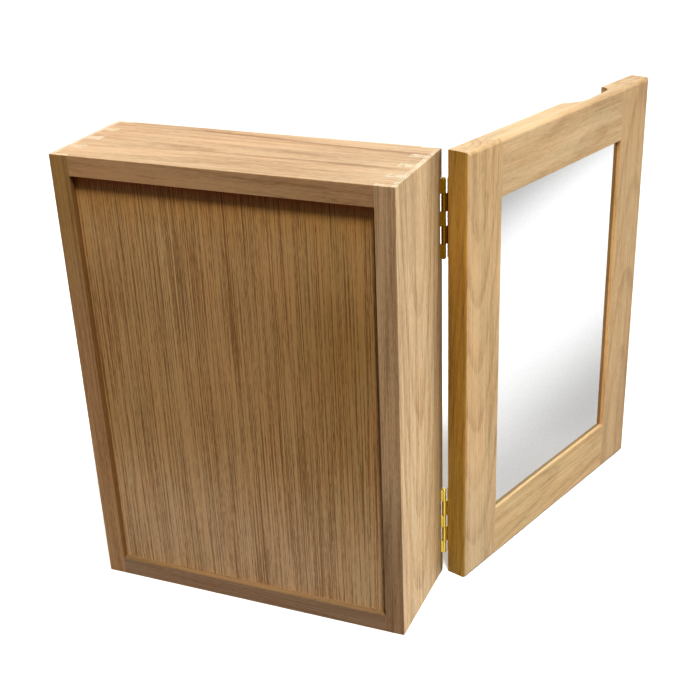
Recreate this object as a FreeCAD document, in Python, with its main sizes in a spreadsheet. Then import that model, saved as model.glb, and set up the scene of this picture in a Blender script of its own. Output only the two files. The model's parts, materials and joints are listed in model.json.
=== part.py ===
import FreeCAD, Part
import math
import os
import re
import Sketcher

# Medicine cabinet: a dovetailed teak case with a recessed back panel, two shelves and a framed
# mirror door on two brass butt hinges.  Millimetres, +Z up.  The case front faces -Y and its
# underside is z = 0, with the origin in the middle of the underside.  The door is drawn closed and
# then swung out about the hinge pins.

SIZES = (
    # case
    ("case_width", 280.0, "outside width"),
    ("case_depth", 98.0, "outside depth, without the door"),
    ("case_height", 381.0, "outside height"),
    ("board", 16.0, "thickness of the four case boards"),
    ("case_arris", 0.6, "softened outer arrises of the case"),
    ("tail_count", 4, "dovetails at each corner"),
    ("tail_lap", 4.0, "side board left outside the ends of the tails"),
    ("pin_root", 9.0, "width of a dovetail pin at the inner face of the side"),
    ("pin_tip", 6.0, "width of a dovetail pin at the ends of the tails"),
    # back panel
    ("panel_recess", 6.0, "back plane to the rear face of the panel"),
    ("panel_thickness", 5.0, "back panel and its groove"),
    ("groove_depth", 6.0, "depth of the panel groove in each board"),
    ("panel_play", 0.5, "gap at the bottom of the groove"),
    # shelves
    ("shelf_thickness", 10.0, "shelf and its housing"),
    ("shelf_housing", 5.0, "depth the shelf is let into each side"),
    ("lower_shelf_height", 146.0, "underside of the case to the underside of the lower shelf"),
    ("upper_shelf_drop", 115.0, "top of the case to the underside of the upper shelf"),
    ("fiddle_inset", 14.0, "case front to the front of the fiddle rail"),
    ("fiddle_thickness", 8.0, "fiddle rail"),
    ("fiddle_height", 30.0, "fiddle rail, from the underside of its shelf"),
    ("fiddle_arris", 2.0, "rounded top of the fiddle rail"),
    # door frame
    ("open_angle", 107.3, "how far the door stands open"),
    ("door_gap", 0.8, "case front to the closed door"),
    ("door_lift", 0.5, "door short of the case at its top and bottom"),
    ("door_thickness", 18.4, "door frame"),
    ("door_arris", 3.0, "rounded outer arrises of the door"),
    ("door_inner_arris", 0.5, "softened inner arrises of the door"),
    ("stile_width", 46.0, "door stiles"),
    ("top_rail_width", 46.0, "top rail"),
    ("bottom_rail_width", 48.0, "bottom rail"),
    ("front_lip", 3.2, "frame in front of the glass"),
    ("rebate", 7.0, "width of the rebate that the glass lies in"),
    ("tenon_length", 22.0, "rail tenons"),
    ("tenon_thickness", 6.0, "rail tenons"),
    ("tenon_shoulder", 6.0, "rail edge to tenon edge"),
    # finger notch
    ("notch_start", 161.0, "hinge edge of the door to the notch"),
    ("notch_length", 66.0, "length of the notch"),
    ("notch_depth", 12.0, "deepest cut into the inner face"),
    ("notch_height", 12.0, "cut down from the top edge"),
    ("notch_sweep", 30.0, "radius of the long end"),
    ("notch_end", 10.0, "radius of the steep end"),
    # glass, backing and beads
    ("mirror_thickness", 3.0, "mirror glass"),
    ("backing_thickness", 3.0, "backing board"),
    ("glass_play", 0.5, "gap round the glass and its backing"),
    ("bead_setback", 0.2, "beads below the inner face of the door"),
    ("bead_pin_diameter", 1.4, "panel pins"),
    ("bead_pin_length", 14.0, "panel pins"),
    ("bead_pin_spread", 55.0, "panel pin to the middle of a bead"),
    # hinges
    ("hinge_length", 63.5, "butt hinge"),
    ("hinge_top_inset", 22.8, "top of the case to the upper hinge"),
    ("hinge_bottom_inset", 21.2, "underside of the case to the lower hinge"),
    ("leaf_width", 14.6, "pin axis to the far edge of a leaf"),
    ("leaf_thickness", 1.3, "hinge leaf"),
    ("leaf_notch", 1.4, "knuckle to the edge of the other leaf"),
    ("knuckle_diameter", 3.6, "hinge knuckle"),
    ("case_knuckle", 11.5, "each of the three case knuckles"),
    ("knuckle_gap", 0.25, "end play at each door knuckle"),
    ("pin_outset", 1.9, "side of the case to the pin axis"),
    ("pin_standoff", 2.6, "pin axis to the back of a leaf"),
    ("hinge_pin_diameter", 2.0, "hinge pin"),
    ("pin_head_diameter", 3.2, "head at each end of the pin"),
    ("pin_head_height", 0.8, "head at each end of the pin"),
    ("pin_clearance", 0.05, "radial running clearance in the door knuckles"),
    ("mortise_play", 0.3, "hinge mortise round the leaf"),
    # screws
    ("screw_diameter", 2.6, "countersunk screws"),
    ("screw_head", 5.2, "countersunk screws"),
    ("screw_head_height", 1.3, "countersunk screws"),
    ("screw_point", 2.5, "countersunk screws"),
    ("slot_width", 0.7, "screwdriver slot"),
    ("slot_depth", 0.6, "screwdriver slot"),
    ("hinge_screw_length", 14.0, "screws of the hinge leaves"),
    ("hinge_screw_offset", 8.6, "pin axis to the screws"),
    ("hinge_screw_pitch", 23.0, "screw to screw along the hinge"),
    ("catch_screw_length", 18.0, "screws of the catch"),
    ("strike_screw_length", 10.0, "screws of the strike plate"),
    # magnetic catch
    ("catch_offset", 75.0, "inner face of the free side to the middle of the catch"),
    ("catch_length", 44.0, "catch housing"),
    ("catch_depth", 14.0, "catch housing"),
    ("catch_height", 12.0, "catch housing"),
    ("catch_screw_spread", 18.0, "catch screw to the middle of the catch"),
    ("magnet_length", 26.0, "magnet"),
    ("magnet_depth", 9.0, "magnet"),
    ("magnet_height", 6.0, "magnet"),
    ("pole_thickness", 1.5, "pole plates, above and below the magnet"),
    ("pole_reach", 1.5, "pole plates in front of the housing"),
    ("strike_length", 34.0, "strike plate"),
    ("strike_height", 11.0, "strike plate"),
    ("strike_thickness", 1.0, "strike plate"),
    ("strike_screw_spread", 11.0, "strike screw to the middle of the plate"),
    ("catch_air", 0.3, "strike plate to the pole plates when shut"),
)

ALIASES = frozenset(name for name, _, _ in SIZES)

# Places that several pieces share, as expressions of the sizes.
CASE_BACK = "(case_depth / 2)"
CASE_FRONT = "(-case_depth / 2)"
SIDE_INSIDE = "(case_width / 2 - board)"
TOP_INSIDE = "(case_height - board)"
PANEL_FRONT = "(case_depth / 2 - panel_recess - panel_thickness)"
FIDDLE_FRONT = "(fiddle_inset - case_depth / 2)"
SHELF_FRONT = "(fiddle_inset + fiddle_thickness - case_depth / 2)"
SHELF_LOW = {
    "lower": "lower_shelf_height",
    "upper": "(case_height - upper_shelf_drop)",
}
TAIL_PITCH = "(case_depth / tail_count)"
DOOR_BACK = "(-case_depth / 2 - door_gap)"
DOOR_FRONT = "(-case_depth / 2 - door_gap - door_thickness)"
DOOR_TOP = "(case_height - door_lift)"
LIP_BACK = "(-case_depth / 2 - door_gap - door_thickness + front_lip)"
CORE_DEPTH = "(door_thickness - front_lip)"
MIRROR_BACK = "(-case_depth / 2 - door_gap - door_thickness + front_lip + mirror_thickness)"
BEAD_FRONT = (
    "(-case_depth / 2 - door_gap - door_thickness + front_lip + mirror_thickness + backing_thickness)"
)
BEAD_DEPTH = (
    "(door_thickness - front_lip - mirror_thickness - backing_thickness - bead_setback)"
)
SIGHT_X = "(case_width / 2 - stile_width)"
SIGHT_LOW = "(door_lift + bottom_rail_width)"
SIGHT_HIGH = "(case_height - door_lift - top_rail_width)"
REBATE_X = "(case_width / 2 - stile_width + rebate)"
REBATE_LOW = "(door_lift + bottom_rail_width - rebate)"
REBATE_HIGH = "(case_height - door_lift - top_rail_width + rebate)"
PIN_X = "(-case_width / 2 - pin_outset)"
PIN_Y = "(pin_standoff - door_gap - case_depth / 2)"
CASE_LEAF_FACE = "(2 * pin_standoff - leaf_thickness - door_gap - case_depth / 2)"
CASE_LEAF_BACK = "(2 * pin_standoff - door_gap - case_depth / 2)"
DOOR_LEAF_FACE = "(leaf_thickness - door_gap - case_depth / 2)"
DOOR_KNUCKLE = "((hinge_length - 3 * case_knuckle) / 2)"
UPPER_HINGE = "(case_height - hinge_top_inset - hinge_length)"
LOWER_HINGE = "hinge_bottom_inset"
CATCH_X = "(case_width / 2 - board - catch_offset)"
POLE_FRONT = "(-case_depth / 2 - door_gap + strike_thickness + catch_air)"
CATCH_FRONT = "(-case_depth / 2 - door_gap + strike_thickness + catch_air + pole_reach)"
CATCH_LOW = "(case_height - board - catch_height)"
CATCH_MIDDLE = "(case_height - board - catch_height / 2)"

# Rotations that turn a piece drawn along +Z to another direction.
TOWARDS = {
    "+z": FreeCAD.Rotation(),
    "-z": FreeCAD.Rotation(FreeCAD.Vector(1, 0, 0), 180),
    "+y": FreeCAD.Rotation(FreeCAD.Vector(1, 0, 0), -90),
    "-y": FreeCAD.Rotation(FreeCAD.Vector(1, 0, 0), 90),
    "+x": FreeCAD.Rotation(FreeCAD.Vector(0, 1, 0), 90),
    "-x": FreeCAD.Rotation(FreeCAD.Vector(0, 1, 0), -90),
}

TOLERANCE = 0.001

doc = FreeCAD.newDocument("MedicineCabinet")
sheet = doc.addObject("Spreadsheet::Sheet", "Sizes")
nodes = []


# ---------------------------------------------------------------- sizes and expressions

def fill_sheet():
    """Writes every driving size to the sheet: name, value under its alias, and a note."""
    for row, (name, number, note) in enumerate(SIZES, start=1):
        sheet.set("A%d" % row, name)
        sheet.set("B%d" % row, str(number))
        sheet.setAlias("B%d" % row, name)
        sheet.set("C%d" % row, note)
    doc.recompute()


def bound(text):
    """Turns size names into references to the sheet's cells."""
    def reference(word):
        return "Sizes." + word.group(0) if word.group(0) in ALIASES else word.group(0)
    return re.sub(r"[a-z][a-z0-9_]*", reference, text)


def value(text):
    """The number that an expression of the sizes has now."""
    return float(sheet.evalExpression(bound(text)))


def bind(item, **sizes):
    """Binds properties of an object to expressions of the sizes."""
    for prop, text in sizes.items():
        item.setExpression(prop, bound(text))


def place(item, x, y, z, towards="+z"):
    """Puts an object at (x, y, z), turned from +Z to another direction."""
    item.Placement = FreeCAD.Placement(FreeCAD.Vector(), TOWARDS[towards])
    for axis, text in (("x", x), ("y", y), ("z", z)):
        item.setExpression("Placement.Base." + axis, bound(text))


# ---------------------------------------------------------------- nodes

def keep(item, label):
    """Makes an object a node of the cabinet."""
    item.Label = label
    nodes.append(item)
    return item


def hang(item, label):
    """Makes an object drawn on the closed door a node of the open door."""
    item.Placement = FreeCAD.Placement(
        FreeCAD.Vector(), FreeCAD.Rotation(FreeCAD.Vector(0, 0, -1), 1.0)
    )
    item.setExpression("Placement.Rotation.Angle", bound("open_angle"))
    shift_x = PIN_X + " * (1 - cos(open_angle)) - " + PIN_Y + " * sin(open_angle)"
    shift_y = PIN_Y + " * (1 - cos(open_angle)) + " + PIN_X + " * sin(open_angle)"
    item.setExpression("Placement.Base.x", bound(shift_x))
    item.setExpression("Placement.Base.y", bound(shift_y))
    return keep(item, label)


# ---------------------------------------------------------------- primitives and booleans

def block(name, x, y, z, kind="Part::Box", owner=None):
    """A block; each of x, y and z is (low corner, size)."""
    item = (owner.newObject if owner else doc.addObject)(kind, name)
    bind(item, Length=x[1], Width=y[1], Height=z[1])
    place(item, x[0], y[0], z[0])
    return item


def span(low, high):
    """The (low corner, size) pair of a stretch between two expressions."""
    return low, high + " - (" + low + ")"


def centred(middle, size):
    """The (low corner, size) pair of a stretch about its middle."""
    return middle + " - " + size + " / 2", size


def rod(name, diameter, length, at, towards="+z"):
    """A cylinder that starts at a point."""
    item = doc.addObject("Part::Cylinder", name)
    bind(item, Radius=diameter + " / 2", Height=length)
    place(item, *at, towards)
    return item


def taper(name, start, end, length, at, towards="+z"):
    """A cone between two diameters that starts at a point."""
    item = doc.addObject("Part::Cone", name)
    bind(item, Radius1=start + " / 2", Radius2=end + " / 2", Height=length)
    place(item, *at, towards)
    return item


def fuse(name, pieces):
    item = doc.addObject("Part::MultiFuse", name)
    item.Shapes = pieces
    return item


def group(name, pieces):
    item = doc.addObject("Part::Compound", name)
    item.Links = pieces
    return item


def cut(name, base, tool):
    item = doc.addObject("Part::Cut", name)
    item.Base = base
    item.Tool = tool
    return item


# ---------------------------------------------------------------- bodies and their features

def new_body(name):
    return doc.addObject("PartDesign::Body", name)


def add_block(body, name, x, y, z):
    return block(body.Name + "_" + name, x, y, z, "PartDesign::AdditiveBox", body)


def cut_block(body, name, x, y, z):
    """Cuts a block out of a body, and makes sure that it took something away."""
    doc.recompute()
    before = body.Shape.Volume
    block(body.Name + "_" + name, x, y, z, "PartDesign::SubtractiveBox", body)
    doc.recompute()
    if body.Shape.Volume >= before - TOLERANCE:
        raise RuntimeError(name + " cuts nothing from " + body.Name)


def round_edges(body, name, radius, *lines):
    """Rounds every edge that lies on one of the lines, each a dict of fixed coordinates."""
    doc.recompute()
    base = body.Tip
    targets = [{axis: value(text) for axis, text in line.items()} for line in lines]

    def lies_on(edge, target):
        return all(
            abs(getattr(vertex.Point, axis) - number) < TOLERANCE
            for vertex in edge.Vertexes
            for axis, number in target.items()
        )

    names = [
        "Edge%d" % index
        for index, edge in enumerate(base.Shape.Edges, start=1)
        if any(lies_on(edge, target) for target in targets)
    ]
    fillet = body.newObject("PartDesign::Fillet", body.Name + "_" + name)
    fillet.Base = (base, names)
    bind(fillet, Radius=radius)


def arc_through(start, end, radius, side):
    """The arc of a radius from start to end that bulges to its left (1) or right (-1)."""
    chord = end - start
    sagitta = radius - math.sqrt(radius ** 2 - chord.Length ** 2 / 4)
    left = FreeCAD.Vector(-chord.y, chord.x, 0).normalize()
    return Part.Arc(start, (start + end) / 2 + left * (side * sagitta), end)


def plan_sketch(body, name, loops, height):
    """A sketch in plan at a height.  A loop is a list of corners (x, y), or (x, y, radius, side)
    where the run to the next corner is an arc.  Every corner and radius is bound to the sizes."""
    sketch = body.newObject("Sketcher::SketchObject", body.Name + "_" + name)
    plane = next(item for item in body.Origin.OriginFeatures if item.Role == "XY_Plane")
    sketch.AttachmentSupport = [(plane, "")]
    sketch.MapMode = "FlatFace"
    sketch.setExpression("AttachmentOffset.Base.z", bound(height))
    for loop in loops:
        draw_loop(sketch, loop)
    return sketch


def draw_loop(sketch, corners):
    """Draws one closed loop of lines and arcs and constrains it fully."""
    points = [FreeCAD.Vector(value(corner[0]), value(corner[1]), 0) for corner in corners]
    ends = []
    for index, corner in enumerate(corners):
        start = points[index]
        end = points[(index + 1) % len(points)]
        if len(corner) == 2:
            curve = sketch.addGeometry(Part.LineSegment(start, end))
        else:
            curve = sketch.addGeometry(arc_through(start, end, value(corner[2]), corner[3]))
        first, second = 1, 2
        if (sketch.getPoint(curve, 1) - start).Length > TOLERANCE:
            first, second = 2, 1
        ends.append((curve, first, second))
    for index, corner in enumerate(corners):
        curve, first, second = ends[index]
        following, following_first, _ = ends[(index + 1) % len(ends)]
        sketch.addConstraint(
            Sketcher.Constraint("Coincident", curve, second, following, following_first)
        )
        for kind, text, number in (
            ("DistanceX", corner[0], points[index].x),
            ("DistanceY", corner[1], points[index].y),
        ):
            constraint = sketch.addConstraint(Sketcher.Constraint(kind, curve, first, number))
            sketch.setExpression("Constraints[%d]" % constraint, bound(text))
        if len(corner) > 2:
            radius = Sketcher.Constraint("Radius", curve, value(corner[2]))
            constraint = sketch.addConstraint(radius)
            sketch.setExpression("Constraints[%d]" % constraint, bound(corner[2]))


def pad(body, name, loops, low, length):
    item = body.newObject("PartDesign::Pad", body.Name + "_" + name)
    item.Profile = plan_sketch(body, name + "_outline", loops, low)
    bind(item, Length=length)


def pocket(body, name, loops, height, depth, upward=False):
    """Cuts loops down (or up) from a height, and makes sure that it took something away."""
    doc.recompute()
    before = body.Shape.Volume
    sketch = plan_sketch(body, name + "_outline", loops, height)
    item = body.newObject("PartDesign::Pocket", body.Name + "_" + name)
    item.Profile = sketch
    item.Reversed = upward
    bind(item, Length=depth)
    doc.recompute()
    if body.Shape.Volume >= before - TOLERANCE:
        raise RuntimeError(name + " cuts nothing from " + body.Name)


# ---------------------------------------------------------------- screws and pins

def screw_form(name, length, at, towards):
    """A countersunk screw without its slot, which is also the shape of its hole."""
    parts = [
        taper(name + "_head", "screw_head", "screw_diameter", "screw_head_height",
              ("0", "0", "0")),
        rod(name + "_shank", "screw_diameter", length + " - screw_head_height - screw_point",
            ("0", "0", "screw_head_height")),
        taper(name + "_point", "screw_diameter", "screw_diameter / 4", "screw_point",
              ("0", "0", length + " - screw_point")),
    ]
    form = fuse(name + "_form", parts)
    place(form, *at, towards)
    return form


def screw_slots(name, points, axis):
    """The screwdriver slots of screws whose heads lie at the points and face against an axis."""
    slots = []
    for index, (x, y, z) in enumerate(points, start=1):
        long = centred(x, "(2 * screw_head)")
        if axis == "+z":
            across, along = centred(y, "slot_width"), (z, "slot_depth")
        else:
            along = centred(z, "slot_width")
            across = (y, "slot_depth") if axis == "+y" else (y + " - slot_depth", "slot_depth")
        slots.append(block("%s_slot_%d" % (name, index), long, across, along))
    return group(name + "_slots", slots)


def screws(name, length, points, towards):
    """Returns a group of slotted screws and the group of their holes."""
    forms = [
        screw_form("%s_%d" % (name, index), length, point, towards)
        for index, point in enumerate(points, start=1)
    ]
    holes = group(name + "_holes", forms)
    return cut(name + "_slotted", holes, screw_slots(name, points, towards)), holes


# ---------------------------------------------------------------- case

def tail_edges(side, index):
    """The four corners of one tail in plan, from the rear to the front."""
    root = side + "(case_width / 2 - board)"
    tip = side + "(case_width / 2 - tail_lap)"
    rear = "%s - %d * %s" % (CASE_BACK, index, TAIL_PITCH)
    front = "%s - %d * %s" % (CASE_BACK, index + 1, TAIL_PITCH)
    return [
        (root, rear + " - pin_root / 2"),
        (tip, rear + " - pin_tip / 2"),
        (tip, front + " + pin_tip / 2"),
        (root, front + " + pin_root / 2"),
    ]


def tail_board(name, low, groove_low):
    """The top or bottom board: a board with tails at both ends and the panel groove."""
    body = new_body(name)
    count = int(value("tail_count"))
    right = [corner for index in range(count) for corner in tail_edges("", index)]
    left = [corner for index in range(count) for corner in tail_edges("-", index)]
    outline = [(SIDE_INSIDE, CASE_BACK)] + right + [(SIDE_INSIDE, CASE_FRONT)]
    outline += [("-" + SIDE_INSIDE, CASE_FRONT)] + left[::-1] + [("-" + SIDE_INSIDE, CASE_BACK)]
    pad(body, "board", [outline], low, "board")
    outside = "case_height" if low == TOP_INSIDE else "0"
    round_edges(
        body, "arrises", "case_arris",
        {"y": CASE_BACK, "z": outside}, {"y": CASE_FRONT, "z": outside},
    )
    reach = "(case_width / 2 - board + groove_depth)"
    cut_block(
        body, "groove", centred("0", "(2 * " + reach + ")"),
        (PANEL_FRONT, "panel_thickness"), (groove_low, "groove_depth"),
    )
    return body


def side_board(name, side):
    """A side board: sockets for the tails, the panel groove and the shelf housings."""
    body = new_body(name)
    right = side == ""
    outside = side + "(case_width / 2)"
    low = SIDE_INSIDE if right else "-case_width / 2"
    add_block(body, "board", (low, "board"), (CASE_FRONT, "case_depth"), ("0", "case_height"))
    ends = ("0", "case_height")
    edges = (CASE_BACK, CASE_FRONT)
    round_edges(
        body, "arrises", "case_arris",
        *[{"x": outside, "z": end} for end in ends],
        *[{"x": outside, "y": edge} for edge in edges],
        *[{"y": edge, "z": end} for edge in edges for end in ends],
    )
    tails = [tail_edges(side, index) for index in range(int(value("tail_count")))]
    pocket(body, "upper_sockets", tails, "case_height", "board")
    pocket(body, "lower_sockets", tails, "0", "board", upward=True)
    groove = SIDE_INSIDE if right else "-" + SIDE_INSIDE + " - groove_depth"
    cut_block(
        body, "groove", (groove, "groove_depth"), (PANEL_FRONT, "panel_thickness"),
        span("(board - groove_depth)", "(case_height - board + groove_depth)"),
    )
    housing = SIDE_INSIDE if right else "-" + SIDE_INSIDE + " - shelf_housing"
    for level, shelf_low in SHELF_LOW.items():
        cut_block(
            body, level + "_housing", (housing, "shelf_housing"),
            span(SHELF_FRONT, PANEL_FRONT), (shelf_low, "shelf_thickness"),
        )
    return body


def cut_hinge_mortise(body, name, low):
    """Lets a hinge into the front edge of the hinge side, as deep as both leaves."""
    cut_block(
        body, name,
        span("(-case_width / 2 - board)", PIN_X + " + leaf_width + mortise_play"),
        span(CASE_FRONT + " - board", CASE_LEAF_BACK),
        (low + " - mortise_play", "hinge_length + 2 * mortise_play"),
    )


def build_case(catch_holes, hinge_holes):
    """The four boards and the back panel.  The holes are those of the screws in the boards."""
    top = tail_board("top_board_blank", TOP_INSIDE, TOP_INSIDE)
    keep(drill("top_board", top, [catch_holes]), "top_board")
    keep(tail_board("bottom_board", "0", "(board - groove_depth)"), "bottom_board")
    keep(side_board("right_side", ""), "right_side")
    hinge_side = side_board("left_side_blank", "-")
    cut_hinge_mortise(hinge_side, "upper_mortise", UPPER_HINGE)
    cut_hinge_mortise(hinge_side, "lower_mortise", LOWER_HINGE)
    keep(drill("left_side", hinge_side, hinge_holes), "left_side")
    reach = "(case_width / 2 - board + groove_depth - panel_play)"
    panel = block(
        "back_panel", centred("0", "(2 * " + reach + ")"), (PANEL_FRONT, "panel_thickness"),
        span("(board - groove_depth + panel_play)", TOP_INSIDE + " + groove_depth - panel_play"),
    )
    keep(panel, "back_panel")


def build_shelves():
    """Two shelves housed in the sides, each with a rail along its front edge."""
    for level, low in SHELF_LOW.items():
        shelf = block(
            level + "_shelf_board", centred("0", "(2 * (case_width / 2 - board + shelf_housing))"),
            span(SHELF_FRONT, PANEL_FRONT), (low, "shelf_thickness"),
        )
        keep(shelf, level + "_shelf")
        rail = new_body(level + "_fiddle")
        add_block(
            rail, "board", centred("0", "(2 * " + SIDE_INSIDE + ")"),
            (FIDDLE_FRONT, "fiddle_thickness"), (low, "fiddle_height"),
        )
        top = low + " + fiddle_height"
        round_edges(
            rail, "arrises", "fiddle_arris",
            {"y": FIDDLE_FRONT, "z": top}, {"y": SHELF_FRONT, "z": top},
        )
        keep(rail, level + "_fiddle_rail")


def build_catch():
    """The magnetic catch under the top board.  Returns the holes that its screws need."""
    points = [
        (CATCH_X + sign + "catch_screw_spread", CATCH_FRONT + " + catch_depth / 2", CATCH_LOW)
        for sign in (" - ", " + ")
    ]
    catch_screws, holes = screws("catch_screw", "catch_screw_length", points, "+z")
    wide = centred(CATCH_X, "magnet_length")
    magnet = block(
        "magnet", wide, (CATCH_FRONT, "magnet_depth"), centred(CATCH_MIDDLE, "magnet_height")
    )
    pole_depth = (POLE_FRONT, "pole_reach + magnet_depth")
    lower = CATCH_MIDDLE + " - magnet_height / 2 - pole_thickness"
    upper = CATCH_MIDDLE + " + magnet_height / 2"
    poles = group("poles", [
        block("lower_pole", wide, pole_depth, (lower, "pole_thickness")),
        block("upper_pole", wide, pole_depth, (upper, "pole_thickness")),
    ])
    shell = block(
        "catch_shell", centred(CATCH_X, "catch_length"), (CATCH_FRONT, "catch_depth"),
        (CATCH_LOW, "catch_height"),
    )
    housing = cut("catch_body", shell, group("catch_hollows", [magnet, poles, holes]))
    keep(housing, "catch_housing")
    keep(magnet, "catch_magnet")
    keep(poles, "catch_pole_plates")
    keep(catch_screws, "catch_screws")
    return holes


# ---------------------------------------------------------------- hinges

def hinge_leaf(name, low, is_door):
    """A leaf with its knuckles, before the holes of its screws are cut."""
    away = PIN_Y + (" - " if is_door else " + ")
    edge = PIN_X + " + knuckle_diameter / 2 + leaf_notch"
    neck = [
        (PIN_X, away + "0.48 * knuckle_diameter"),
        (edge, away + "pin_standoff"),
        (edge, away + "(pin_standoff - leaf_thickness)"),
        (PIN_X + " + 0.35 * knuckle_diameter", away + "0.1 * knuckle_diameter"),
    ]
    parts = [block(
        name + "_plate", span(edge, PIN_X + " + leaf_width"),
        (DOOR_BACK if is_door else CASE_LEAF_FACE, "leaf_thickness"), (low, "hinge_length"),
    )]
    pitch = "(case_knuckle + " + DOOR_KNUCKLE + ")"
    for index in range(2 if is_door else 3):
        start = low + " + %d * %s" % (index, pitch)
        length = "case_knuckle"
        if is_door:
            start += " + case_knuckle + knuckle_gap"
            length = DOOR_KNUCKLE + " - 2 * knuckle_gap"
        part = "%s_%d" % (name, index + 1)
        parts.append(rod(part + "_knuckle", "knuckle_diameter", length, (PIN_X, PIN_Y, start)))
        web = new_body(part + "_web")
        pad(web, "neck", [neck], start, length)
        parts.append(web)
    bore = "(hinge_pin_diameter + 2 * pin_clearance)" if is_door else "hinge_pin_diameter"
    hole = rod(name + "_bore", bore, "hinge_length", (PIN_X, PIN_Y, low))
    return cut(name + "_drilled", fuse(name + "_solid", parts), hole)


def hinge_pin(name, low):
    """The pin with a small tapered head at each end."""
    return fuse(name, [
        rod(name + "_shaft", "hinge_pin_diameter", "hinge_length", (PIN_X, PIN_Y, low)),
        taper(name + "_top", "pin_head_diameter", "hinge_pin_diameter", "pin_head_height",
              (PIN_X, PIN_Y, low + " + hinge_length")),
        taper(name + "_foot", "pin_head_diameter", "hinge_pin_diameter", "pin_head_height",
              (PIN_X, PIN_Y, low), "-z"),
    ])


def hinge_screw_points(low, face):
    """The middles of the three screw heads of a leaf."""
    middle = low + " + hinge_length / 2"
    return [
        (PIN_X + " + hinge_screw_offset", face, middle + " + %d * hinge_screw_pitch" % step)
        for step in (-1, 0, 1)
    ]


def build_hinges():
    """Two butt hinges.  Returns the screw holes for the hinge side and for the hinge stile."""
    case_holes = []
    door_holes = []
    for level, low in (("upper", UPPER_HINGE), ("lower", LOWER_HINGE)):
        name = level + "_hinge"
        into_case, holes = screws(
            name + "_case", "hinge_screw_length", hinge_screw_points(low, CASE_LEAF_FACE), "+y"
        )
        leaf = hinge_leaf(name + "_case_leaf_form", low, is_door=False)
        keep(cut(name + "_case_leaf_cut", leaf, holes), name + "_case_leaf")
        keep(into_case, name + "_case_screws")
        case_holes.append(holes)
        into_door, holes = screws(
            name + "_door", "hinge_screw_length", hinge_screw_points(low, DOOR_LEAF_FACE), "-y"
        )
        leaf = hinge_leaf(name + "_door_leaf_form", low, is_door=True)
        hang(cut(name + "_door_leaf_cut", leaf, holes), name + "_door_leaf")
        hang(into_door, name + "_door_screws")
        door_holes.append(holes)
        keep(hinge_pin(name + "_pin_form", low), name + "_pin")
    return case_holes, door_holes


# ---------------------------------------------------------------- door

def rail_tenon(body, name, side, low, height, play="0"):
    """The block of a rail's tenon, or of its mortise with play at the bottom."""
    length = "(tenon_length + " + play + ")"
    start = REBATE_X if side == "" else "-" + REBATE_X + " - " + length
    middle = LIP_BACK + " + " + CORE_DEPTH + " / 2"
    sizes = ((start, length), centred(middle, "tenon_thickness"), (low, height))
    if play == "0":
        add_block(body, name, *sizes)
    else:
        cut_block(body, name, *sizes)


TENONS = {
    "top": (REBATE_HIGH + " + tenon_shoulder", "(top_rail_width - rebate - 2 * tenon_shoulder)"),
    "bottom": ("door_lift + tenon_shoulder", "(bottom_rail_width - rebate - 2 * tenon_shoulder)"),
}


def door_rail(name, level):
    """A rail: a front layer between the stiles' lips, a longer core behind it and two tenons."""
    body = new_body(name)
    top = level == "top"
    core = span(REBATE_HIGH, DOOR_TOP) if top else span("door_lift", REBATE_LOW)
    face = span(SIGHT_HIGH, DOOR_TOP) if top else span("door_lift", SIGHT_LOW)
    add_block(body, "core", centred("0", "(2 * " + REBATE_X + ")"), (LIP_BACK, CORE_DEPTH), core)
    add_block(body, "face", centred("0", "(2 * " + SIGHT_X + ")"), (DOOR_FRONT, "front_lip"), face)
    edge = DOOR_TOP if top else "door_lift"
    round_edges(body, "outer_arris", "door_arris", {"y": DOOR_FRONT, "z": edge})
    round_edges(body, "inner_arris", "door_inner_arris", {"y": DOOR_BACK, "z": edge})
    for side, hand in (("", "free"), ("-", "hinge")):
        rail_tenon(body, hand + "_tenon", side, *TENONS[level])
    return body


def door_stile(name, side):
    """A stile: full height, rebated along its inner edge, with a mortise for each rail."""
    body = new_body(name)
    right = side == ""
    outline = [
        (side + "(case_width / 2)", DOOR_FRONT),
        (side + "(case_width / 2)", DOOR_BACK),
        (side + REBATE_X, DOOR_BACK),
        (side + REBATE_X, LIP_BACK),
        (side + SIGHT_X, LIP_BACK),
        (side + SIGHT_X, DOOR_FRONT),
    ]
    pad(body, "board", [outline], "door_lift", "case_height - 2 * door_lift")
    outside = side + "(case_width / 2)"
    round_edges(
        body, "outer_arrises", "door_arris", {"x": outside, "y": DOOR_FRONT},
        {"y": DOOR_FRONT, "z": "door_lift"}, {"y": DOOR_FRONT, "z": DOOR_TOP},
    )
    round_edges(
        body, "inner_arrises", "door_inner_arris", {"x": outside, "y": DOOR_BACK},
        {"y": DOOR_BACK, "z": "door_lift"}, {"y": DOOR_BACK, "z": DOOR_TOP},
    )
    for level in ("top", "bottom"):
        rail_tenon(body, level + "_mortise", side, *TENONS[level], play="glass_play")
    return body


def cut_finger_notch(rail):
    """A notch in the inner top arris of the top rail: a long sweep, then a steep end."""
    start = "(notch_start - case_width / 2)"
    end = "(notch_start + notch_length - case_width / 2)"
    run = "sqrt(notch_sweep ^ 2 - (notch_sweep - notch_depth) ^ 2)"
    outside = DOOR_BACK + " + notch_depth"
    outline = [
        (start, outside),
        (start, DOOR_BACK, "notch_sweep", -1),
        (start + " + " + run, DOOR_BACK + " - notch_depth"),
        (end + " - notch_end", DOOR_BACK + " - notch_end", "notch_end", -1),
        (end, DOOR_BACK),
        (end, outside),
    ]
    pocket(rail, "finger_notch", [outline], DOOR_TOP, "notch_height")


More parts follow.
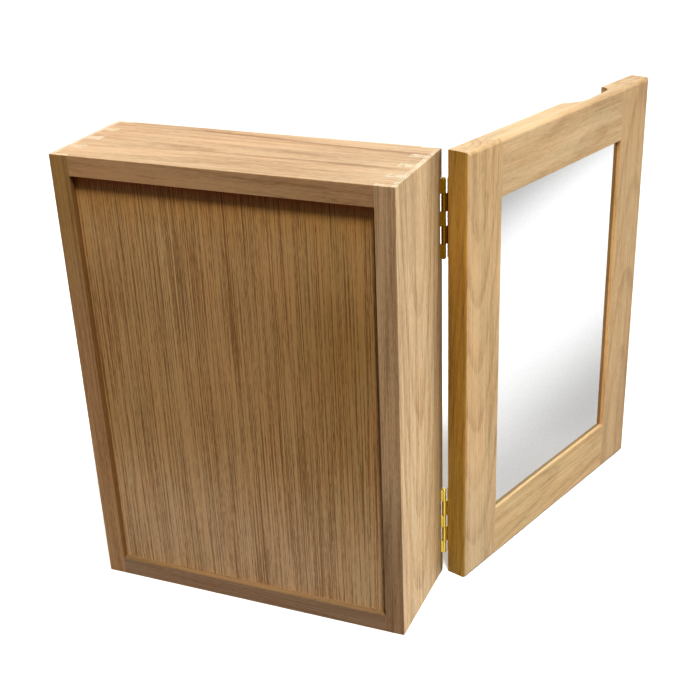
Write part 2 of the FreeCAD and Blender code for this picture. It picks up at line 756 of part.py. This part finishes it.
def build_glass():
    """The mirror and its backing, which lie in the rebate with a little play."""
    wide = centred("0", "(2 * (" + REBATE_X + " - glass_play))")
    high = span(REBATE_LOW + " + glass_play", REBATE_HIGH + " - glass_play")
    glass = block("glass", wide, (LIP_BACK, "mirror_thickness"), high)
    backing = block("backing", wide, (MIRROR_BACK, "backing_thickness"), high)
    hang(group("glass_in_rebate", [glass]), "mirror_glass")
    hang(group("backing_in_rebate", [backing]), "mirror_backing")


def bead_pin_group(name, at_middle, towards):
    """Two panel pins driven through a bead, either side of its middle."""
    pins = []
    for index, sign in enumerate((" - ", " + "), start=1):
        at = [part + sign + "bead_pin_spread" if moves else part for part, moves in at_middle]
        pins.append(rod("%s_pin_%d" % (name, index), "bead_pin_diameter", "bead_pin_length",
                        at, towards))
    return group(name + "_pins", pins)


def build_beads():
    """Four beads that hold the glass.  Returns their pins by the frame piece they enter."""
    depth = (BEAD_FRONT, BEAD_DEPTH)
    middle_y = (BEAD_FRONT + " + " + BEAD_DEPTH + " / 2", False)
    middle_z = ("(" + SIGHT_LOW + " + " + SIGHT_HIGH + ") / 2", True)
    across = centred("0", "(2 * " + REBATE_X + ")")
    between = span(SIGHT_LOW, SIGHT_HIGH)
    beads = {
        "top": (across, span(SIGHT_HIGH, REBATE_HIGH), (("0", True), middle_y, (SIGHT_HIGH, False)),
                "+z"),
        "bottom": (across, span(REBATE_LOW, SIGHT_LOW),
                   (("0", True), middle_y, (SIGHT_LOW, False)), "-z"),
        "hinge_side": (span("-" + REBATE_X, "-" + SIGHT_X), between,
                       (("-" + SIGHT_X, False), middle_y, middle_z), "-x"),
        "free_side": (span(SIGHT_X, REBATE_X), between,
                      ((SIGHT_X, False), middle_y, middle_z), "+x"),
    }
    pins = {}
    for name, (x, z, middle, towards) in beads.items():
        pins[name] = bead_pin_group(name + "_bead", middle, towards)
        bead = block(name + "_bead_stick", x, depth, z)
        hang(cut(name + "_bead_drilled", bead, pins[name]), name + "_bead")
    hang(group("bead_pin_set", list(pins.values())), "bead_pins")
    return pins


def build_strike():
    """The strike plate on the top rail.  Returns the holes of its screws."""
    face = DOOR_BACK + " + strike_thickness"
    points = [
        (CATCH_X + sign + "strike_screw_spread", face, CATCH_MIDDLE) for sign in (" - ", " + ")
    ]
    strike_screws, holes = screws("strike_screw", "strike_screw_length", points, "-y")
    plate = block(
        "strike", centred(CATCH_X, "strike_length"), (DOOR_BACK, "strike_thickness"),
        centred(CATCH_MIDDLE, "strike_height"),
    )
    hang(cut("strike_drilled", plate, holes), "strike_plate")
    hang(strike_screws, "strike_screws")
    return holes


def drill(name, body, holes):
    """A piece of wood with the holes of everything that is driven into it."""
    return cut(name + "_drilled", body, group(name + "_driven", holes))


# ---------------------------------------------------------------- assembly and export

def build_door(door_hinge_holes):
    """The door: glass, beads, strike plate, two rails and two stiles."""
    build_glass()
    pins = build_beads()
    strike_holes = build_strike()
    top_rail = door_rail("top_rail_blank", "top")
    cut_finger_notch(top_rail)
    hang(drill("top_rail", top_rail, [pins["top"], strike_holes]), "door_top_rail")
    bottom_rail = door_rail("bottom_rail_blank", "bottom")
    hang(drill("bottom_rail", bottom_rail, [pins["bottom"]]), "door_bottom_rail")
    hinge_stile = door_stile("hinge_stile_blank", "-")
    hinge_stile_holes = door_hinge_holes + [pins["hinge_side"]]
    hang(drill("hinge_stile", hinge_stile, hinge_stile_holes), "door_hinge_stile")
    free_stile = door_stile("free_stile_blank", "")
    hang(drill("free_stile", free_stile, [pins["free_side"]]), "door_free_stile")


def build():
    """Builds every piece, with the fasteners before the wood that they enter."""
    fill_sheet()
    catch_holes = build_catch()
    case_hinge_holes, door_hinge_holes = build_hinges()
    build_case(catch_holes, case_hinge_holes)
    build_shelves()
    build_door(door_hinge_holes)
    doc.recompute()


def check_and_export():
    """Stops if anything failed to compute, then writes one STEP file for each node."""
    failed = [
        item.Name for item in doc.Objects
        if any(word in state for state in item.State for word in ("Invalid", "Error"))
    ]
    failed += [item.Label for item in nodes if item.Shape.isNull() or not item.Shape.isValid()]
    if failed:
        raise RuntimeError("not computed: " + ", ".join(failed))
    os.makedirs("parts", exist_ok=True)
    for item in nodes:
        item.Shape.exportStep(os.path.join("parts", item.Label + ".step"))
        print("%-28s %2d solid(s) %12.3f mm3" % (item.Label, len(item.Shape.Solids),
                                                 item.Shape.Volume))


build()
check_and_export()
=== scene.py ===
import json
import math

import bpy
from mathutils import Matrix, Quaternion, Vector


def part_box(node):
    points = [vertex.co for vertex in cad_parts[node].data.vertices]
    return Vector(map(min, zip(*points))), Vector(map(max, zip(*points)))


# A teak medicine cabinet with a framed mirror door, standing open on a pale floor.  Metres, in the
# frame of the CAD model: +Z up, the open front of the case towards -Y, hinges on the -X side.

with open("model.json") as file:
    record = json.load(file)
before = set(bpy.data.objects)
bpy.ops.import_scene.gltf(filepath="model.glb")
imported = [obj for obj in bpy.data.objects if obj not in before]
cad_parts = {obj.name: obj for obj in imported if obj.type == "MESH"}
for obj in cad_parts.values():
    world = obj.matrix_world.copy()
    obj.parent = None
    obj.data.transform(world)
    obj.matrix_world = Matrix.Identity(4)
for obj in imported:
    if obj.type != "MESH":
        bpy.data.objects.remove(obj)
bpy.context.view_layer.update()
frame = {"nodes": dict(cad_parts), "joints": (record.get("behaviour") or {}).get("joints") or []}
nodes = frame["nodes"]

MM = 0.001
DOOR_JOINT = frame["joints"][0]
OPEN_ANGLE = math.radians(DOOR_JOINT["range_deg"][1])
UP = Vector((0, 0, 1))
RIGHT = Vector((1, 0, 0))
BACK = Vector((0, 1, 0))
# Along the open door from the hinges to the free edge, and from its mirror side to its inner side.
DOOR_ALONG = Vector((math.cos(OPEN_ANGLE), -math.sin(OPEN_ANGLE), 0))
DOOR_INWARD = Vector((math.sin(OPEN_ANGLE), math.cos(OPEN_ANGLE), 0))

# ---------------------------------------------------------------- node trees

# Sockets of the Mix node when it mixes colours.
MIX_FACTOR = 0
MIX_FIRST = 6
MIX_SECOND = 7
MIX_RESULT = 2


class Shader:
    """A material whose node tree is put together by short calls."""

    def __init__(self, name):
        self.material = bpy.data.materials.new(name)
        self.material.use_nodes = True
        self.tree = self.material.node_tree
        self.surface = self.tree.nodes["Principled BSDF"]

    def put(self, socket, source):
        """Links a source to a socket, or sets the socket to a plain value."""
        if isinstance(source, bpy.types.NodeSocket):
            self.tree.links.new(source, socket)
        else:
            socket.default_value = source

    def node(self, kind, *inputs, **settings):
        """Adds a node; inputs go to its sockets in order, and None leaves a socket as it is."""
        made = self.tree.nodes.new("ShaderNode" + kind)
        for name, setting in settings.items():
            setattr(made, name, setting)
        for socket, source in zip(made.inputs, inputs):
            if source is not None:
                self.put(socket, source)
        return made

    def math(self, operation, a, b=None, c=None):
        """The result of a Math node."""
        return self.node("Math", a, b, c, operation=operation).outputs[0]

    def ramp(self, source, low, high, to_low=0.0, to_high=1.0, smooth=True):
        """Maps low..high to to_low..to_high, clamped."""
        kind = "SMOOTHSTEP" if smooth else "LINEAR"
        return self.node(
            "MapRange", source, low, high, to_low, to_high, interpolation_type=kind
        ).outputs[0]

    def noise(self, place, detail=2.0, roughness=0.5, seed=0.0):
        """A noise of feature size 1, from 0 to 1."""
        made = self.node("TexNoise", noise_dimensions="4D")
        self.put(made.inputs["Vector"], place)
        self.put(made.inputs["W"], seed)
        self.put(made.inputs["Scale"], 1.0)
        self.put(made.inputs["Detail"], detail)
        self.put(made.inputs["Roughness"], roughness)
        return made.outputs["Fac"]

    def mix(self, factor, first, second, blend="MIX"):
        """The first colour blended with the second by a factor."""
        made = self.node("Mix", data_type="RGBA", blend_type=blend)
        self.put(made.inputs[MIX_FACTOR], factor)
        self.put(made.inputs[MIX_FIRST], first)
        self.put(made.inputs[MIX_SECOND], second)
        return made.outputs[MIX_RESULT]

    def stretched(self, place, x, y, z):
        """A place divided by a feature size along each axis, in the unit of the place."""
        return self.node(
            "VectorMath", place, (1 / x, 1 / y, 1 / z), operation="MULTIPLY"
        ).outputs[0]

    def dot(self, vector, axis):
        """How far a vector reaches along an axis."""
        return self.node(
            "VectorMath", vector, tuple(axis), operation="DOT_PRODUCT"
        ).outputs["Value"]

    def hump(self, source, middle, reach):
        """A bell curve of a value about a middle."""
        offset = self.math("DIVIDE", self.math("SUBTRACT", source, middle), reach)
        square = self.math("MULTIPLY", offset, offset)
        return self.math("EXPONENT", self.math("MULTIPLY", square, -1.0))

    def bump(self, height, strength, depth):
        """Roughens the surface by a height; the depth is in millimetres."""
        made = self.node("Bump")
        made.inputs["Strength"].default_value = strength
        made.inputs["Distance"].default_value = depth * MM
        self.put(made.inputs["Height"], height)
        self.put(self.surface.inputs["Normal"], made.outputs["Normal"])


# ---------------------------------------------------------------- timber

TEAK = (0.66, 0.47, 0.29)

# The noises of the timber: size along the grain and twice across it in millimetres, detail,
# roughness, and what is added to the seed of the board.
NOISES = {
    "bend": ((130, 35, 35), 2.0, 0.5, 0),
    "wave": ((28, 7, 7), 2.0, 0.5, 1),
    "fleck": ((7, 0.55, 0.55), 2.0, 0.6, 4),
    "fibre": ((30, 0.25, 0.25), 1.0, 0.5, 5),
    "cloud": ((140, 22, 22), 2.0, 0.5, 6),
    "hue": ((70, 14, 14), 2.0, 0.5, 7),
    "speck": ((0.6, 0.6, 0.6), 2.0, 0.6, 8),
}
STREAK_LENGTH = 260

# A growth ring darkens from its onset to its peak and ends sharply; rings differ in darkness.
RING_PEAK = 0.90
RING_END = 0.92
FAINTEST_RING = 0.15
WAVE_SHARE = 0.12

# Tone runs from 0, the light colour of the board, to 1, the dark one.
BASE_TONE = 0.26
FIBRE_TONE = 0.15
PORE_TONE = 0.12
PORE_RANGE = (0.58, 0.72)
LIGHT_PART = 1.12
DARK_PARTS = (0.56, 0.48, 0.40)
WARM_HUE = (1.02, 0.99, 0.97, 1)
COOL_HUE = (0.98, 1.01, 1.02, 1)
VEIN_WANDER = 8.0
END_SPECK = 0.75

ROUGHNESS_RANGE = (0.50, 0.66)
SPECULAR_LEVEL = 0.35
PORE_HEIGHT = -0.8
FIBRE_HEIGHT = 0.4
GRAIN_STRENGTH = 0.3
GRAIN_DEPTH = 0.12


class Timber(Shader):
    """Sawn teak.  Places are in millimetres along the board's grain, across its width and through
    its thickness, from the middle of the board; the growth rings run round a pith that drifts
    along the board."""

    def __init__(self, name, grain, width, depth):
        super().__init__("teak_" + name)
        low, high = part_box(name)
        texture = self.node("TexCoord")
        offset = self.node(
            "VectorMath", texture.outputs["Object"], tuple((low + high) / 2), operation="SUBTRACT"
        ).outputs[0]
        self.normal = texture.outputs["Normal"]
        self.along = self.dot(offset, grain / MM)
        self.across = self.dot(offset, width / MM)
        self.through = self.dot(offset, depth / MM)
        self.place = self.node("CombineXYZ", self.along, self.across, self.through).outputs[0]
        self.grain = grain

    def figure(self, size, detail, roughness, seed):
        """A noise drawn out along the grain."""
        return self.noise(self.stretched(self.place, *size), detail, roughness, seed)

    def pattern(self, name, seed):
        """One of the noises that all boards share."""
        size, detail, roughness, offset = NOISES[name]
        return self.figure(size, detail, roughness, seed + offset)

    def spot(self, along, across, long, wide):
        """A soft spot about a place on the board."""
        return self.math(
            "MULTIPLY", self.hump(self.along, along, long), self.hump(self.across, across, wide)
        )

    def rings(self, pith, drift, spacing, wander, onset, swells, seed):
        """The darkness of the late wood, 0 to 1."""
        bend = self.pattern("bend", seed)
        wave = self.pattern("wave", seed)
        sideways = self.math("SUBTRACT", self.across, pith[0])
        sideways = self.math("MULTIPLY_ADD", self.along, -drift[0], sideways)
        inward = self.math("SUBTRACT", self.through, pith[1])
        inward = self.math("MULTIPLY_ADD", self.along, -drift[1], inward)
        square = self.math("MULTIPLY", inward, inward)
        square = self.math("MULTIPLY_ADD", sideways, sideways, square)
        radius = self.math("MULTIPLY_ADD", bend, wander, self.math("SQRT", square))
        radius = self.math("MULTIPLY_ADD", wave, WAVE_SHARE * wander, radius)
        for along, across, long, wide, height in swells:
            swell = self.spot(along, across, long, wide)
            radius = self.math("MULTIPLY_ADD", swell, height, radius)
        phase = self.math("DIVIDE", radius, spacing)
        turn = self.math("FRACT", phase)
        rise = self.ramp(turn, onset, RING_PEAK)
        late = self.math("MULTIPLY", rise, self.ramp(turn, RING_END, 1.0, 1.0, 0.0))
        index = self.node("TexWhiteNoise", noise_dimensions="1D")
        self.put(index.inputs["W"], self.math("FLOOR", phase))
        strength = self.ramp(index.outputs["Value"], 0, 1, FAINTEST_RING, 1.0)
        return self.math("MULTIPLY", late, strength)

    def vein(self, tone, clouds, start, stop, across_start, across_stop, thick, depth):
        """Darkens a tone along a wavering line between two places on the board."""
        slope = (across_stop - across_start) / (stop - start)
        line = self.math("MULTIPLY_ADD", self.along, -slope, self.across)
        line = self.math("MULTIPLY_ADD", clouds, VEIN_WANDER, line)
        mark = self.hump(line, across_start - slope * start + VEIN_WANDER / 2, thick)
        soft = 0.25 * abs(stop - start)
        low, high = min(start, stop), max(start, stop)
        fade_in = self.ramp(self.along, low - soft, low + soft)
        fade_out = self.ramp(self.along, high - soft, high + soft, 1.0, 0.0)
        mark = self.math("MULTIPLY", self.math("MULTIPLY", mark, fade_in), fade_out)
        return self.math("MULTIPLY_ADD", mark, depth, tone)

    def facing(self, axis, low=0.55, high=0.9):
        """1 on the faces that look along an axis."""
        return self.ramp(self.dot(self.normal, axis), low, high)

    def finish(
        self, colour=TEAK, figure=0.2, pith=(0, 40), drift=(0.01, 0.05), spacing=4.0, wander=5.0,
        onset=0.35, lines=0.45, broad=0.18, fleck=0.34, cloud=0.22, streak=5.0, hair=0.85,
        length=120, swells=(), veins=(), tints=(), end=(1.15, 1.18, 1.25), seed=0.0,
    ):
        """Joins up the colour: rings, streaks, lines, flecks and pores between two tones."""
        late = self.rings(pith, drift, spacing, wander, onset, swells, seed)
        streaks = self.figure((STREAK_LENGTH, streak, streak), 1.0, 0.6, seed + 2)
        hairs = self.figure((length, hair, hair), 2.0, 0.7, seed + 3)
        flecks = self.pattern("fleck", seed)
        fibres = self.pattern("fibre", seed)
        clouds = self.pattern("cloud", seed)
        pore = self.ramp(flecks, *PORE_RANGE)
        tone = self.math("MULTIPLY_ADD", late, figure, BASE_TONE)
        for part, reach in (
            (streaks, broad), (hairs, lines), (flecks, fleck), (fibres, FIBRE_TONE), (clouds, cloud)
        ):
            spread = self.ramp(part, 0.25, 0.75, -reach, reach, smooth=False)
            tone = self.math("ADD", tone, spread)
        tone = self.math("MULTIPLY_ADD", pore, PORE_TONE, tone)
        for vein in veins:
            tone = self.vein(tone, clouds, *vein)
        tone = self.ramp(tone, 0.0, 1.0, smooth=False)

        light = (*(LIGHT_PART * part for part in colour), 1)
        dark = (*(part * fade for part, fade in zip(colour, DARK_PARTS)), 1)
        shade = self.mix(tone, light, dark)
        hue = self.mix(self.ramp(self.pattern("hue", seed), 0.3, 0.7), WARM_HUE, COOL_HUE)
        shade = self.mix(1.0, shade, hue, "MULTIPLY")
        specks = self.ramp(self.pattern("speck", seed), 0.40, 0.70)
        speckled = self.mix(specks, (*end, 1), (*(END_SPECK * part for part in end), 1))
        on_end = self.math("ABSOLUTE", self.dot(self.normal, self.grain))
        shade = self.mix(self.ramp(on_end, 0.6, 0.95), shade, speckled, "MULTIPLY")
        # Tints multiply the colour. Many are painted light and shade: darker faces that look back
        # or into the recess, a painted shadow under the top board, lighter door edges that lie in
        # shade.
        for mask, tint in tints:
            shade = self.mix(mask(self), shade, (*tint, 1), "MULTIPLY")
        self.put(self.surface.inputs["Base Color"], shade)

        roughness = self.ramp(flecks, 0.2, 0.8, *ROUGHNESS_RANGE, smooth=False)
        self.put(self.surface.inputs["Roughness"], roughness)
        self.surface.inputs["Specular IOR Level"].default_value = SPECULAR_LEVEL
        height = self.math("MULTIPLY", fibres, FIBRE_HEIGHT)
        height = self.math("MULTIPLY_ADD", pore, PORE_HEIGHT, height)
        self.bump(height, GRAIN_STRENGTH, GRAIN_DEPTH)
        return self.material


# Masks say where a tint lies on a board.  They are fixed to the board: a place "along" its grain
# or "across" its width, in millimetres from its middle, on the faces that look along an axis.

def on_faces(timber, band, axis):
    """Keeps a band to the faces that look along an axis, or leaves it on all of them."""
    if axis is None:
        return band
    return timber.math("MULTIPLY", band, timber.facing(axis))


def face(axis):
    """A mask for the faces that look along an axis."""
    return lambda timber: timber.facing(axis)


def strip(part, middle, reach, axis=None):
    """A mask for a soft strip of a board about a place along or across it."""
    return lambda timber: on_faces(timber, timber.hump(getattr(timber, part), middle, reach), axis)


def beyond(part, low, high, axis=None):
    """A mask that grows from 0 to 1 between two places on a board."""
    return lambda timber: on_faces(timber, timber.ramp(getattr(timber, part), low, high), axis)


def patch(along, across, long, wide, axis=None):
    """A mask for a soft spot on a board."""
    return lambda timber: on_faces(timber, timber.spot(along, across, long, wide), axis)


def plain(name, colour, roughness, metallic=0.0, grain=1.5, depth=0.02):
    """A finish for a small piece: one colour with a fine grain of tone, gloss and height.  The
    grain and its depth are in millimetres."""
    shader = Shader(name)
    place = shader.node("TexCoord").outputs["Object"]
    fine = shader.noise(shader.stretched(place, *[grain * MM] * 3), 3.0)
    darker = tuple(part * 0.8 for part in colour)
    shader.put(shader.surface.inputs["Base Color"], shader.mix(fine, (*colour, 1), (*darker, 1)))
    gloss = shader.ramp(fine, 0.3, 0.7, roughness * 0.8, roughness * 1.2)
    shader.put(shader.surface.inputs["Roughness"], gloss)
    shader.surface.inputs["Metallic"].default_value = metallic
    shader.bump(fine, 0.5, depth)
    return shader.material


def wear(material, *names):
    """Gives CAD nodes one material."""
    for name in names:
        nodes[name].data.materials.clear()
        nodes[name].data.materials.append(material)


# ---------------------------------------------------------------- timber of each board

# The grain, width and thickness of each kind of board.
UPRIGHT_SIDE = (UP, BACK, RIGHT)
UPRIGHT_PANEL = (UP, RIGHT, BACK)
LEVEL_BOARD = (RIGHT, BACK, UP)
LEVEL_RAIL = (RIGHT, UP, BACK)
STILE = (UP, DOOR_ALONG, DOOR_INWARD)
RAIL = (DOOR_ALONG, UP, DOOR_INWARD)

boards = {
    "left_side": (UPRIGHT_SIDE, dict(
        colour=(0.645, 0.49, 0.315),
        figure=0.34, pith=(7, 36), drift=(0.0, -0.085), spacing=7.0, wander=6.0, onset=0.45,
        lines=0.46, broad=0.24, end=(1.02, 1.12, 1.28),
        tints=[
            # Painted shade: a strip along the front of the outer side where the open door shades
            # it, and the faces that look back.
            (strip("across", -49, 24, -RIGHT), (0.46, 0.43, 0.37)),
            (face(BACK), (0.733, 0.685, 0.648)),
            (beyond("along", 20, -150, BACK), (0.74, 0.70, 0.70)),
        ],
    )),
    "right_side": (UPRIGHT_SIDE, dict(
        figure=0.10, pith=(-20, -60), lines=0.6, end=(1.02, 1.12, 1.28),
        tints=[
            # Painted shade on the faces that look back and on the strip of the inner face beside
            # the recessed back panel.
            (face(BACK), (0.62, 0.55, 0.47)),
            (beyond("across", 41, 43, -RIGHT), (0.42, 0.35, 0.23)),
            (beyond("along", 40, 160, BACK), (0.82, 0.83, 0.64)),
        ],
    )),
    "top_board": (LEVEL_BOARD, dict(
        colour=(0.49, 0.340, 0.207),
        figure=0.30, pith=(5, -26), drift=(0.02, 0.03), spacing=5.5, wander=9.0, onset=0.6,
        lines=0.16, cloud=0.34, swells=[(-5, 28, 34, 9, 12)],
        veins=[(-125, 10, 9, 9, 2.0, 0.6), (-110, 60, -29, -41, 1.8, 0.6)],
        tints=[
            # Painted shade on the faces that look back.
            (face(BACK), (0.87, 0.80, 0.73)),
            (beyond("along", -10, -130, UP), (1.06, 1.11, 1.16)),
        ],
    )),
    "bottom_board": (LEVEL_BOARD, dict(
        figure=0.14, pith=(-10, -50),
        tints=[
            # Painted shade on the faces that look back and on the ledge in the recess behind the
            # back panel.
            (face(BACK), (0.47, 0.44, 0.45)),
            (beyond("across", 41, 43, UP), (0.37, 0.34, 0.28)),
        ],
    )),
    "back_panel": (UPRIGHT_PANEL, dict(
        figure=0.20, pith=(-500, 90), drift=(0.02, 0.0), spacing=3.3, wander=6.0, onset=0.3,
        lines=1.55, broad=0.24, fleck=0.6, cloud=0.24, streak=9.0, hair=0.8, length=150,
        tints=[
            # Painted shade on the faces that look back, and a painted shadow under the top board: a
            # dark red-brown band that fades downwards.
            (face(BACK), (0.65, 0.59, 0.46)),
            (strip("along", 176, 9, BACK), (0.70, 0.32, 0.13)),
            (beyond("along", 130, 172, BACK), (0.95, 0.86, 0.66)),
            (beyond("across", -40, -95, BACK), (0.95, 0.95, 0.90)),
            (beyond("along", 60, 150, BACK), (1.1, 1.1, 1.1)),
            (patch(60, -93, 60, 45, BACK), (0.85, 0.80, 0.67)),
            (patch(110, 47, 90, 16, BACK), (1.10, 1.15, 1.22)),
            (patch(-160, 80, 45, 70, BACK), (0.93, 0.93, 0.90)),
            (beyond("along", -20, -150, BACK), (1.26, 1.38, 1.80)),
        ],
    )),
    "lower_shelf": (LEVEL_BOARD, {}),
    "upper_shelf": (LEVEL_BOARD, {}),
    "lower_fiddle_rail": (LEVEL_RAIL, {}),
    "upper_fiddle_rail": (LEVEL_RAIL, {}),
    "door_hinge_stile": (STILE, dict(
        colour=(0.56, 0.405, 0.235),
        figure=0.28, pith=(-6, 34), drift=(0.0, -0.10), spacing=5.5, wander=3.0, onset=0.5,
        lines=0.36, fleck=0.24,
        tints=[
            # Painted shade on the hinge edge, with a more golden hue.
            (face(-DOOR_ALONG), (0.79, 0.68, 0.295)),
            (beyond("along", 0, -150), (0.94, 0.98, 1.05)),
            (beyond("along", 40, 150, -DOOR_ALONG), (1.20, 1.18, 1.32)),
        ],
    )),
    "door_free_stile": (STILE, dict(
        colour=(0.48, 0.345, 0.197),
        figure=0.28, pith=(6, 36), drift=(0.02, 0.08), spacing=7.0, wander=5.0, onset=0.6,
        lines=0.32, fleck=0.24,
        tints=[
            # Painted light on the faces that look towards the hinges, in place of the light that
            # the mirror throws on the jamb.
            (face(-DOOR_ALONG), (1.62, 1.42, 1.14)),
            (beyond("along", 0, -120), (0.93, 0.93, 0.95)),
        ],
    )),
    "door_top_rail": (RAIL, dict(
        colour=(0.565, 0.425, 0.26),
        figure=0.17, pith=(-12, 22), drift=(0.10, 0.04), spacing=9.0, wander=8.0, onset=0.5,
        lines=0.20, broad=0.10, fleck=0.2, cloud=0.42,
        swells=[(-30, 6, 40, 16, 8), (45, -8, 34, 14, -7)],
        # Painted light on the faces that look towards the hinges, such as the end of the finger
        # notch, which lie in shade.
        tints=[(face(-DOOR_ALONG), (1.35, 1.25, 1.1))],
    )),
    "door_bottom_rail": (RAIL, dict(
        colour=(0.53, 0.395, 0.227),
        figure=0.22, pith=(10, 40), drift=(0.05, 0.05), spacing=4.0, wander=6.0, lines=0.3,
        fleck=0.24,
        tints=[(beyond("along", 0, 100), (0.94, 0.93, 0.92))],
    )),
    "top_bead": (RAIL, {}),
    "bottom_bead": (RAIL, {}),
    "hinge_side_bead": (STILE, {}),
    "free_side_bead": (STILE, {}),
}
SEED_STEP = 3.7
for number, (name, (axes, look)) in enumerate(boards.items()):
    wear(Timber(name, *axes).finish(seed=number * SEED_STEP, **look), name)

# ---------------------------------------------------------------- metal, glass and the rest

# The upper hinge wears a darker and rougher copy of the brass: its darkness is painted shade.
shaded_brass = plain("shaded_brass", (0.24, 0.134, 0.010), 0.42, 1.0)
brass = plain("brass", (0.68, 0.535, 0.137), 0.34, 1.0)
for level, metal in (("upper", shaded_brass), ("lower", brass)):
    wear(metal, *[
        level + "_hinge_" + part
        for part in ("case_leaf", "case_screws", "door_leaf", "door_screws", "pin")
    ])
wear(plain("steel", (0.60, 0.60, 0.60), 0.35, 1.0),
     "catch_pole_plates", "strike_plate", "bead_pins", "catch_screws", "strike_screws")
wear(plain("brown_plastic", (0.12, 0.07, 0.045), 0.5), "catch_housing")
wear(plain("ferrite", (0.06, 0.06, 0.065), 0.6), "catch_magnet")
wear(plain("hardboard", (0.30, 0.19, 0.11), 0.8), "mirror_backing")
wear(plain("silvered_glass", (0.485, 0.49, 0.495), 0.02, 1.0, depth=0.0), "mirror_glass")

# ---------------------------------------------------------------- floor

# The floor is so wide that its edge is out of sight, and it doesn't tint the cabinet.
FLOOR_HALF = 60.0
mesh = bpy.data.meshes.new("floor")
mesh.from_pydata(
    [(x * FLOOR_HALF, y * FLOOR_HALF, 0) for x, y in ((-1, -1), (1, -1), (1, 1), (-1, 1))],
    [], [(0, 1, 2, 3)],
)
floor = bpy.data.objects.new("floor", mesh)
bpy.context.scene.collection.objects.link(floor)
floor.data.materials.append(plain("floor_paint", (0.88, 0.88, 0.88), 0.8))
floor.visible_diffuse = False

# ---------------------------------------------------------------- light


def lamp(name, kind, strength, towards, place=(0, 0, 0), **settings):
    """A lamp at a place; the vector points from the cabinet to where the light comes from."""
    data = bpy.data.lights.new(name, kind)
    data.energy = strength
    for key, setting in settings.items():
        setattr(data, key, setting)
    made = bpy.data.objects.new(name, data)
    made.location = place
    made.rotation_mode = "QUATERNION"
    made.rotation_quaternion = Vector(towards).to_track_quat("Z", "Y")
    bpy.context.scene.collection.objects.link(made)
    return made


# Light from behind and above, from the hinge side, and from the front for the faces in shade.
# The last one makes no glare.
lamp("key", "SUN", 2.86, (-0.35, 0.45, 1.0), angle=math.radians(13))
lamp("side", "SUN", 1.0, (-1.0, -0.1, 0.15), angle=math.radians(10))
fill = lamp("fill", "SUN", 1.2, (0.45, -1.0, 0.35), angle=math.radians(40))
fill.visible_glossy = False

# Two lamps for the floor alone: one evens out the shadows, one makes the long pool of light that
# the mirror shows.  Each has a strength, a place, a cone and a turn about the upright in degrees,
# and a stretch of its pool.
FLOOR_LAMPS = (
    ("behind", 48.0, (0.08, -0.22, 2.0), 24, 0, 1.0),
    ("pool", 380.0, (-0.825, -0.922, 3.0), 7.7, 63, 8.4),
)
floor_only = bpy.data.collections.new("floor_only")
floor_only.objects.link(floor)
for name, strength, place, cone, turn, stretch in FLOOR_LAMPS:
    made = lamp(
        name, "SPOT", strength, UP, place, use_shadow=False,
        spot_size=math.radians(cone), spot_blend=1.0, shadow_soft_size=0.02,
    )
    made.rotation_quaternion = Quaternion(UP, math.radians(turn))
    made.scale.x = stretch
    made.light_linking.receiver_collection = floor_only

# The world lights the cabinet with a dim warm glow, while the camera and reflections see a white
# studio beyond the floor.
GLOW_COLOUR = (1.0, 0.86, 0.72, 1)
GLOW_STRENGTH = 0.12
world = bpy.data.worlds.new("studio")
bpy.context.scene.world = world
world.use_nodes = True
tree = world.node_tree
glow = tree.nodes["Background"]
glow.inputs["Color"].default_value = GLOW_COLOUR
glow.inputs["Strength"].default_value = GLOW_STRENGTH
backdrop = tree.nodes.new("ShaderNodeBackground")
backdrop.inputs["Color"].default_value = (1, 1, 1, 1)
path = tree.nodes.new("ShaderNodeLightPath")
seen = tree.nodes.new("ShaderNodeMath")
seen.operation = "MAXIMUM"
tree.links.new(path.outputs["Is Camera Ray"], seen.inputs[0])
tree.links.new(path.outputs["Is Glossy Ray"], seen.inputs[1])
either = tree.nodes.new("ShaderNodeMixShader")
tree.links.new(seen.outputs[0], either.inputs[0])
tree.links.new(glow.outputs[0], either.inputs[1])
tree.links.new(backdrop.outputs[0], either.inputs[2])
tree.links.new(either.outputs[0], tree.nodes["World Output"].inputs["Surface"])
bpy.context.scene.view_settings.view_transform = "Standard"
bpy.context.scene.view_settings.look = "High Contrast"

# ---------------------------------------------------------------- camera

CAMERA_PLACE = (-0.43225, 0.80786, 0.64471)
# Heading, pitch and roll in degrees.
CAMERA_TURN = (-157.748, -27.272, -1.704)
data = bpy.data.cameras.new("camera")
data.lens = 63.9
data.sensor_width = 36.0
data.shift_x = -0.0378
data.shift_y = 0.0593
camera = bpy.data.objects.new("camera", data)
heading, pitch, roll = (math.radians(angle) for angle in CAMERA_TURN)
camera.matrix_world = (
    Matrix.Translation(CAMERA_PLACE) @ Matrix.Rotation(heading, 4, "Z")
    @ Matrix.Rotation(math.pi / 2 + pitch, 4, "X") @ Matrix.Rotation(roll, 4, "Z")
)
bpy.context.scene.collection.objects.link(camera)
bpy.context.scene.camera = camera
